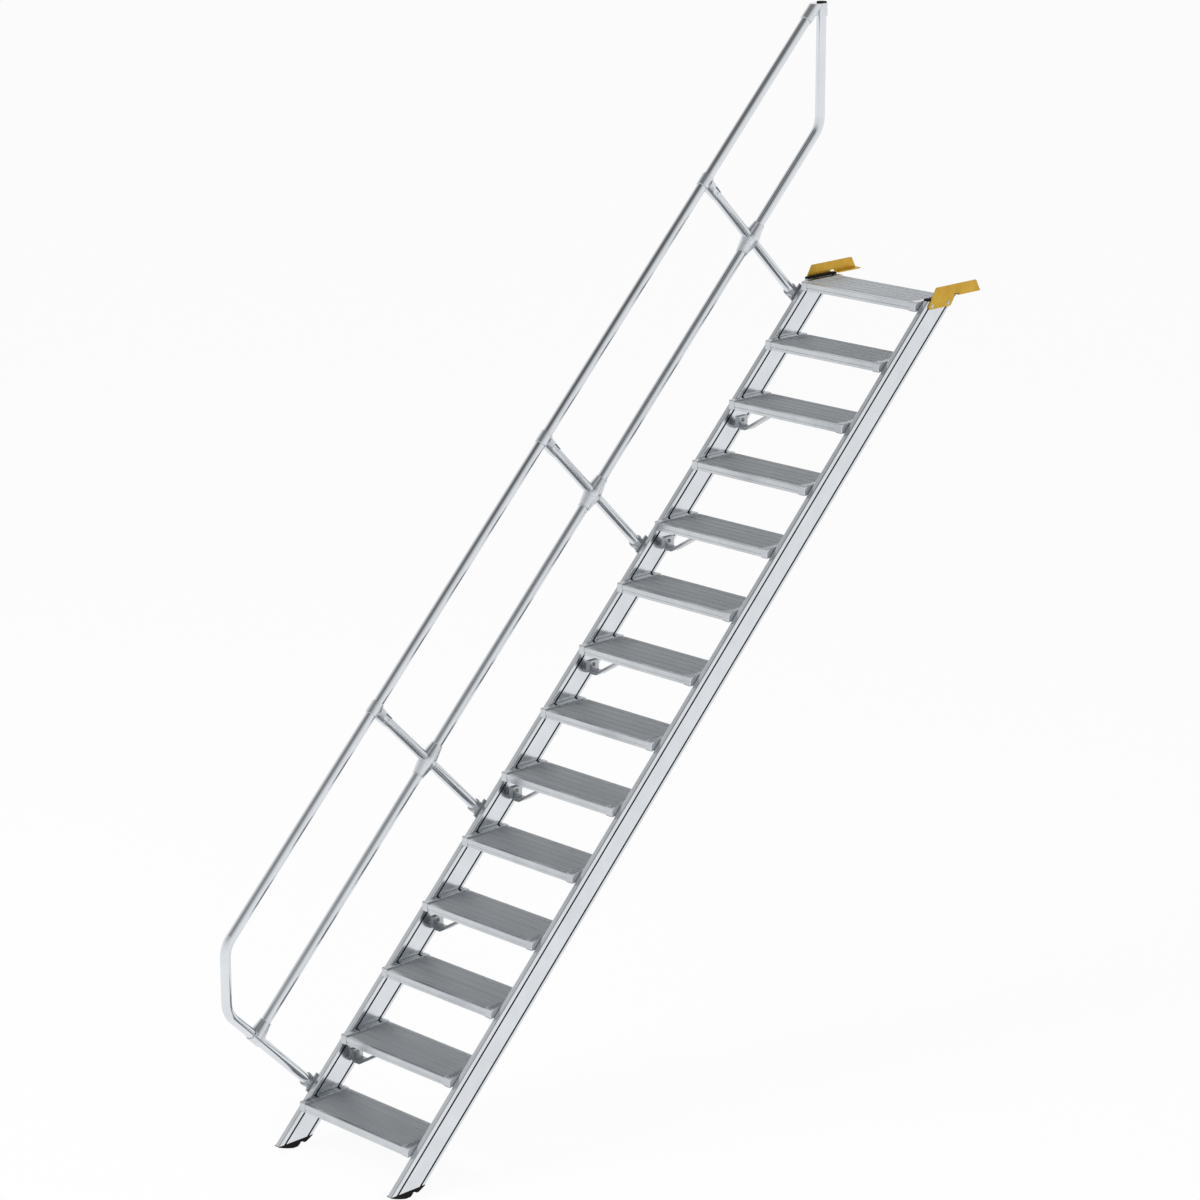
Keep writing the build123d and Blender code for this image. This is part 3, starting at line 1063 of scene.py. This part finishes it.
@dataclass
class Treads(Assembly):
    """The fourteen treads, with fine ribs between the grooves of their decks."""

    cap_width: float = 0.042
    first_groove: float = 0.030
    groove_pitch: float = 0.040
    groove_count: int = 5
    groove_half: float = 0.0018
    rib_pitch: float = 0.0036
    rib_foot: float = 0.0026
    rib_top: float = 0.0011
    rib_height: float = 0.0008
    front_edge: float = 0.013
    depth: float = 0.217
    sink: float = 0.0002
    bead_from_end: float = 0.0285
    bead_start: float = 0.002
    bead_foot: float = 0.0022
    bead_top: float = 0.0011
    bead_height: float = 0.0012
    bead_gap: float = 0.0035
    bar_smoothing: float = 10.0

    @property
    def grooves(self) -> list[float]:
        """Distances of the deck's grooves from its front edge."""
        return [self.first_groove + self.groove_pitch * index for index in range(self.groove_count)]

    def rib_places(self) -> list[float]:
        """Distances of the ribs from the deck's front edge.

        Returns:
            The distance of each rib's middle.
        """
        edges = [self.front_edge] + self.grooves + [self.depth]
        places = []
        for low, high in zip(edges, edges[1:]):
            start = low + self.groove_half
            stop = high - self.groove_half
            count = int((stop - start) / self.rib_pitch)
            gap = (stop - start) / count
            places += [start + gap * (index + 0.5) for index in range(count)]
        return places

    def ribbing(self, index: int) -> None:
        """Lays the ribs on one tread.

        Args:
            index: how many treads lie below it.
        """
        front = self.flight.nose_y + index * self.flight.going
        top = self.flight.nose_z + index * self.flight.rise - self.sink
        left = self.flight.inner_left + self.cap_width
        mesher = Mesher(f"tread_ribs_{index + 1:02d}")
        along = Vector((self.flight.inner_right - self.cap_width - left, 0, 0))
        corners = trapezoid(self.rib_foot, self.rib_top, self.rib_height)
        for place in self.rib_places():
            outline = [Vector((left, front + place + side, top + height)) for side, height in corners]
            mesher.prism(outline, along)
        # the top tread's ribs take the lit copy with lighter greys, since no tread shades them; the lower
        # ones take the darker painted shade
        finish = self.finishes.top_rib if index == STEP_COUNT - 1 else self.finishes.deck_rib
        mesher.finish(Slot.TREAD, finish, self.bar_smoothing)

    def beads(self, mesher: Mesher, index: int) -> None:
        """Lays a raised bead along both caps' inner edges, broken at the grooves; it takes the lighter
        stringer finish, so that it also paints the highlight along each cap's edge.

        Args:
            mesher: the piece that they join.
            index: how many treads lie below it.
        """
        flight = self.flight
        front = flight.nose_y + index * flight.going
        top = flight.nose_z + index * flight.rise + flight.end_above - self.sink
        starts = [self.bead_start] + [place + self.bead_gap for place in self.grooves]
        stops = [place - self.bead_gap for place in self.grooves] + [self.depth - self.bead_start]
        corners = trapezoid(self.bead_foot, self.bead_top, self.bead_height)
        for x in (flight.inner_left + self.bead_from_end, flight.inner_right - self.bead_from_end):
            for start, stop in zip(starts, stops):
                outline = [Vector((x + side, front + start, top + height)) for side, height in corners]
                mesher.prism(outline, Vector((0, stop - start, 0)))

    def build(self) -> None:
        """Dresses the treads and lays their ribs and beads."""
        beads = Mesher("cap_highlight_beads")
        for index in range(STEP_COUNT):
            top = index == STEP_COUNT - 1
            # the top tread takes the lit copy with lighter deck greys, since no tread shades it; the lower
            # ones take the darker painted shade
            dress(self.finishes.top_tread if top else self.finishes.tread, f"tread_{index + 1:02d}")
            self.ribbing(index)
            self.beads(beads, index)
        # painted highlight: the raised beads take the bright stringer finish instead of the darkened tread
        # tops
        beads.finish(Slot.TREAD, self.finishes.stringer, self.bar_smoothing)


@dataclass
class KneeBrackets(Assembly):
    """The bent bars under every second tread, on the left, and the bolts that hold them."""

    setback: float = 0.075
    bar: float = 0.010
    leg_bolt_drop: float = 0.088
    flange_half: float = 0.014
    flange_drop: float = 0.041
    leg_twist: float = 0.3
    flange_twist: float = 0.5
    bolt: Fastener = Fastener(across=0.011, height=0.0055, washer=0.0078, washer_height=0.0012)

    def build(self) -> None:
        """Dresses the brackets and sets a bolt in each leg and each flange."""
        dress(self.finishes.bracket, "left_knee_brackets")
        flight = self.flight
        flange_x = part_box("left_knee_brackets")[1].x - self.flange_half
        mesher = Mesher("left_knee_bracket_bolts")
        for index in range(1, STEP_COUNT - 1, 2):
            y = flight.nose_y + index * flight.going + self.setback
            top = flight.nose_z + index * flight.rise
            leg = Vector((flight.inner_left + self.bar, y, top - self.leg_bolt_drop))
            self.bolt.hexagon(mesher, leg, Vector((1, 0, 0)), twist=self.leg_twist * index)
            flange = Vector((flange_x, y, top - self.flange_drop))
            self.bolt.hexagon(mesher, flange, Vector((0, 0, -1)), twist=self.flange_twist * index)
        mesher.finish(Slot.BRACKET, self.finishes.clamp)


@dataclass
class Hooks(Assembly):
    """The two steel hooks and their bolts."""

    bolt_places: tuple[tuple[float, float], ...] = ((-0.227, -0.021), (-0.130, -0.021))
    bolt: Fastener = Fastener(across=0.013, height=0.0028, washer=0.0085, washer_height=0.001)

    def build(self) -> None:
        """Dresses the hooks and sets their bolts."""
        dress(self.finishes.hook, "left_hook", "right_hook")
        for node, way in (("left_hook", -1), ("right_hook", 1)):
            low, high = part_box(node)
            face = high.x if way > 0 else low.x
            mesher = Mesher(node + "_bolts")
            for y, z in self.bolt_places:
                self.bolt.button(mesher, Vector((face, y, z)), Vector((way, 0, 0)))
            mesher.finish(Slot.HOOK, self.finishes.clamp)


@dataclass
class Handrail(Assembly):
    """The tubes of the handrail, their connectors and the clamps that hold them."""

    tube: float = 0.040
    post_count: int = 3
    screw_v: float = 0.618
    knee_v: float = 0.321
    lip_reach: float = 0.0685
    lip_width: float = 0.003
    lip_inner: float = 0.0228
    lip_outer: float = 0.0246
    lip_edge: float = 0.0004
    lip_sides: int = 48
    cross_radius: float = 0.035
    cross_flat: float = 0.005
    cross_taper: float = 0.185
    cheek_reach: float = 0.066
    cheek_spread: float = 0.62
    cheek_tip_spread: float = 0.06
    cheek_turn: float = 0.15
    cheek_lift: float = 0.0005
    saddle_reach: float = 0.0207
    saddle_hole: float = 0.02005
    saddle_start: float = 0.25
    saddle_lift: float = -0.0008
    shell_thick: float = 0.002
    shell_steps: int = 28
    shell_parts: int = 12
    ear_x: float = -0.019
    ear_side: float = 0.0315
    ear_v: float = -0.062
    ear_twist: float = 0.4
    screw: Fastener = Fastener(across=0.0075, height=0.0016, washer=0.0038, washer_height=0.0002)
    bolt: Fastener = Fastener(across=0.011, height=0.005, washer=0.0072, washer_height=0.0012)

    def lip(self, mesher: Mesher, u: float) -> None:
        """Adds the thin lip at the tip of a knee rail connector.

        Args:
            mesher: the piece that it joins.
            u: how far up the slope it lies.
        """
        edge = self.lip_edge
        half = self.lip_width / 2
        section = [
            (self.lip_inner, -half),
            (self.lip_outer - edge, -half),
            (self.lip_outer, -half + edge),
            (self.lip_outer, half - edge),
            (self.lip_outer - edge, half),
            (self.lip_inner, half),
        ]
        place = self.flight.point(self.rail_x, u, self.knee_v)
        mesher.turned(place, self.flight.upslope, section, self.lip_sides, hollow=True)

    def radius_at(self, place: float) -> float:
        """The radius of a knee rail connector.

        Args:
            place: how far along the rail from the connector's middle.

        Returns:
            Its radius there.
        """
        return self.cross_radius - max(abs(place) - self.cross_flat, 0.0) * self.cross_taper

    def shell(
        self, mesher: Mesher, u: float, way: int, lift: float, rows: list[tuple[float, float, float]]
    ) -> None:
        """Adds a thin closed shell that follows a knee rail connector.

        Args:
            mesher: the piece that it joins.
            u: how far up the slope the connector's middle lies.
            way: 1 for the side that faces the stair, -1 for the other.
            lift: how far its outer face stands above the connector.
            rows: places along the rail, each with the angles where the shell starts and stops.
        """
        grids = []
        for height in (lift, lift - self.shell_thick):
            grid = []
            for place, low, high in rows:
                radius = self.radius_at(place) + height
                row = []
                for part in range(self.shell_parts + 1):
                    angle = low + (high - low) * part / self.shell_parts
                    x = self.rail_x + way * radius * cos(angle)
                    v = self.knee_v + radius * sin(angle)
                    row.append(mesher.mesh.verts.new(self.flight.point(x, u + place, v)))
                grid.append(row)
            grids.append(grid)
        outer, inner = grids
        new_face = mesher.mesh.faces.new
        for grid in grids:
            for low, high in zip(grid, grid[1:]):
                for part in range(self.shell_parts):
                    new_face((low[part], low[part + 1], high[part + 1], high[part]))
        for step in range(len(rows) - 1):
            over, over_next, under, under_next = outer[step], outer[step + 1], inner[step], inner[step + 1]
            for part in (0, self.shell_parts):
                new_face((over[part], over_next[part], under_next[part], under[part]))
        for part in range(self.shell_parts):
            for over, under in ((outer[0], inner[0]), (outer[-1], inner[-1])):
                new_face((over[part], over[part + 1], under[part + 1], under[part]))

    def connector_shells(self, mesher: Mesher, u: float, way: int) -> None:
        """Adds the leaf-shaped cheek on one side of a connector, and the saddle that meets the post.

        Args:
            mesher: the piece that they join.
            u: how far up the slope the connector's middle lies.
            way: 1 for the side that faces the stair, -1 for the other.
        """
        cheek = []
        saddle = []
        for step in range(self.shell_steps + 1):
            share = 2 * step / self.shell_steps - 1
            spread = self.cheek_spread * (1 - share * share) + self.cheek_tip_spread
            cheek.append((share * self.cheek_reach, -spread - self.cheek_turn, spread - self.cheek_turn))
            place = share * self.saddle_reach
            hole = sqrt(max(self.saddle_hole**2 - place**2, 0.0))
            saddle.append((place, self.saddle_start, acos(hole / self.radius_at(place))))
        self.shell(mesher, u, way, self.cheek_lift, cheek)
        self.shell(mesher, u, way, self.saddle_lift, saddle)

    @property
    def rail_x(self) -> float:
        """Where the handrail stands, across the stair."""
        low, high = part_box("post_1")
        return (low.x + high.x) / 2

    def small_parts(self) -> None:
        """Sets the lips, cheeks, saddles, screws and clamp bolts."""
        posts = [self.flight.along(name) for name in numbered("post", self.post_count)]
        lowest = self.flight.along("post_clamp_1")
        lips, cheeks = Mesher("connector_lips"), Mesher("connector_cheeks")
        screws, bolts = Mesher("neck_screws"), Mesher("clamp_bolts")
        self.lip(lips, lowest + self.lip_reach)
        for place in posts:
            for way in (-1, 1):
                self.lip(lips, place + way * self.lip_reach)
                self.connector_shells(cheeks, place, way)
                point = self.flight.point(self.rail_x + way * self.tube / 2, place, self.screw_v)
                self.screw.button(screws, point, Vector((way, 0, 0)))
        for place in [lowest] + posts:
            for side in (-1, 1):
                point = self.flight.point(self.ear_x, place + side * self.ear_side, self.ear_v)
                self.bolt.hexagon(bolts, point, Vector((-1, 0, 0)), twist=self.ear_twist * side)
        for mesher in (lips, cheeks):
            mesher.finish(Slot.FITTING, self.finishes.fitting)
        for mesher in (screws, bolts):
            mesher.finish(Slot.FITTING, self.finishes.bolt)

    def build(self) -> None:
        """Dresses the tubes, connectors and clamps, and sets their small parts."""
        finishes, count = self.finishes, self.post_count
        dress(finishes.rail, "top_rail", *numbered("knee_rail", count))
        dress(finishes.upright, "knee_rail_upright")
        dress(finishes.post, *numbered("post", count))
        dress(finishes.fitting, "knee_tee", "rail_elbow")
        dress(finishes.fitting, *numbered("rail_tee", count), *numbered("knee_cross", count))
        dress(finishes.clamp, *numbered("post_clamp", count + 1))
        dress(finishes.rubber, "upright_plug")
        self.small_parts()


@dataclass(frozen=True)
class Lamp:
    """A square soft lamp, which doesn't show in bright metal."""

    name: str
    place: Place
    power: float
    size: float = 4.0

    def build(self, target: Vector) -> None:
        """Sets the lamp up.

        Args:
            target: what it points at.
        """
        data = bpy.data.lights.new(self.name, "AREA")
        data.shape = "SQUARE"
        data.size = self.size
        data.energy = self.power
        piece = new_object(self.name, data)
        piece.location = self.place
        piece.rotation_euler = (target - Vector(self.place)).to_track_quat("-Z", "Y").to_euler()
        piece.visible_glossy = False


@dataclass
class Studio:
    """A white floor, a sky bright at the horizon with a dark ring high up, and two soft lamps."""

    ground: float
    reach: float = 60.0
    sky_levels: tuple[tuple[float, float], ...] = (
        (0.0, 0.92),
        (0.22, 0.92),
        (0.47, 0.80),
        (0.66, 0.60),
        (0.82, 0.29),
        (0.89, 0.11),
        (0.93, 0.20),
        (1.0, 0.62),
    )
    floor_grey: float = 0.95
    floor_share: float = 0.93
    middle: Place = (0.3, -1.6, -1.0)
    lamps: tuple[Lamp, ...] = (
        Lamp("key lamp", (-3.0, -7.5, 5.5), 420.0),
        Lamp("fill lamp", (8.5, -3.5, 3.0), 180.0),
    )

    def floor(self) -> None:
        """Makes the floor, which looks white and keeps the stair's shadow."""
        data = bpy.data.meshes.new("floor")
        sides = ((-1, -1), (1, -1), (1, 1), (-1, 1))
        corners = [(x * self.reach, y * self.reach, self.ground) for x, y in sides]
        data.from_pydata(corners, [], [(0, 1, 2, 3)])
        piece = new_object("floor", data)
        material = bpy.data.materials.new("white floor")
        sheet = NodeSheet.fresh(material)
        matt = sheet.add("ShaderNodeBsdfDiffuse", {"Color": grey(self.floor_grey)})
        rays = sheet.add("ShaderNodeLightPath").outputs
        seen = sheet.math("MAXIMUM", rays["Is Camera Ray"], rays["Is Glossy Ray"])
        seen = sheet.math("MAXIMUM", seen, rays["Is Transmission Ray"])
        share = sheet.math("MULTIPLY", seen, self.floor_share)
        glow = sheet.add("ShaderNodeEmission", {"Color": grey(1.0), "Strength": 1.0})
        blend = sheet.add("ShaderNodeMixShader", {0: share, 1: matt.outputs[0], 2: glow.outputs[0]})
        sheet.add("ShaderNodeOutputMaterial", {"Surface": blend.outputs[0]})
        data.materials.append(material)

    def sky(self) -> None:
        """Makes the world: a soft gradient, pale at the horizon, dark high up and paler overhead."""
        world = bpy.data.worlds.new("studio")
        bpy.context.scene.world = world
        sheet = NodeSheet.fresh(world)
        direction = sheet.add("ShaderNodeTexCoord").outputs["Generated"]
        parts = sheet.add("ShaderNodeSeparateXYZ", {0: direction})
        ramp = sheet.add("ShaderNodeValToRGB", {0: parts.outputs["Z"]})
        stops = ramp.color_ramp.elements
        stops[0].color = grey(self.sky_levels[0][1])
        stops[1].color = grey(self.sky_levels[-1][1])
        for height, level in self.sky_levels[1:-1]:
            stops.new(height).color = grey(level)
        soft = sheet.add("ShaderNodeBackground", {"Color": ramp.outputs[0], "Strength": 1.0})
        sheet.add("ShaderNodeOutputWorld", {"Surface": soft.outputs[0]})

    def build(self) -> None:
        """Builds floor, sky and lamps."""
        self.floor()
        self.sky()
        for lamp in self.lamps:
            lamp.build(Vector(self.middle))


@dataclass
class PhotoCamera:
    """The camera at the photograph's viewing angle."""

    place: Place = (10.1396, -11.5153, 3.0329)
    azimuth: float = 45.08
    elevation: float = 16.19
    focal_pixels: float = 3829.7
    frame_pixels: float = 1200.0
    middle_x: float = 602.2
    middle_y: float = 604.0
    sensor: float = 36.0
    far: float = 500.0

    def build(self) -> None:
        """Makes the camera and makes it the scene's own."""
        data = bpy.data.cameras.new("camera")
        data.sensor_width = self.sensor
        data.lens = self.focal_pixels / self.frame_pixels * self.sensor
        data.shift_x = -(self.middle_x - self.frame_pixels / 2) / self.frame_pixels
        data.shift_y = (self.middle_y - self.frame_pixels / 2) / self.frame_pixels
        data.clip_end = self.far
        camera = new_object("camera", data)
        camera.location = self.place
        camera.rotation_euler = (radians(90 - self.elevation), 0.0, radians(self.azimuth))
        bpy.context.scene.camera = camera


def main() -> None:
    """Builds the stage, the finishes and each sub-assembly in order."""
    logging.basicConfig(level=logging.INFO, format="%(message)s")
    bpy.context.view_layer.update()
    bpy.context.scene.view_settings.view_transform = "Standard"
    flight = Flight.measured()
    Studio(flight.ground).build()
    PhotoCamera().build()
    finishes = Finishes.build(flight)
    for assembly in (Stringers, Treads, KneeBrackets, Hooks, Handrail):
        assembly(finishes, flight).build()
        LOG.info("built %s", assembly.__name__)
    bpy.context.view_layer.update()


if __name__ == "__main__":
    main()
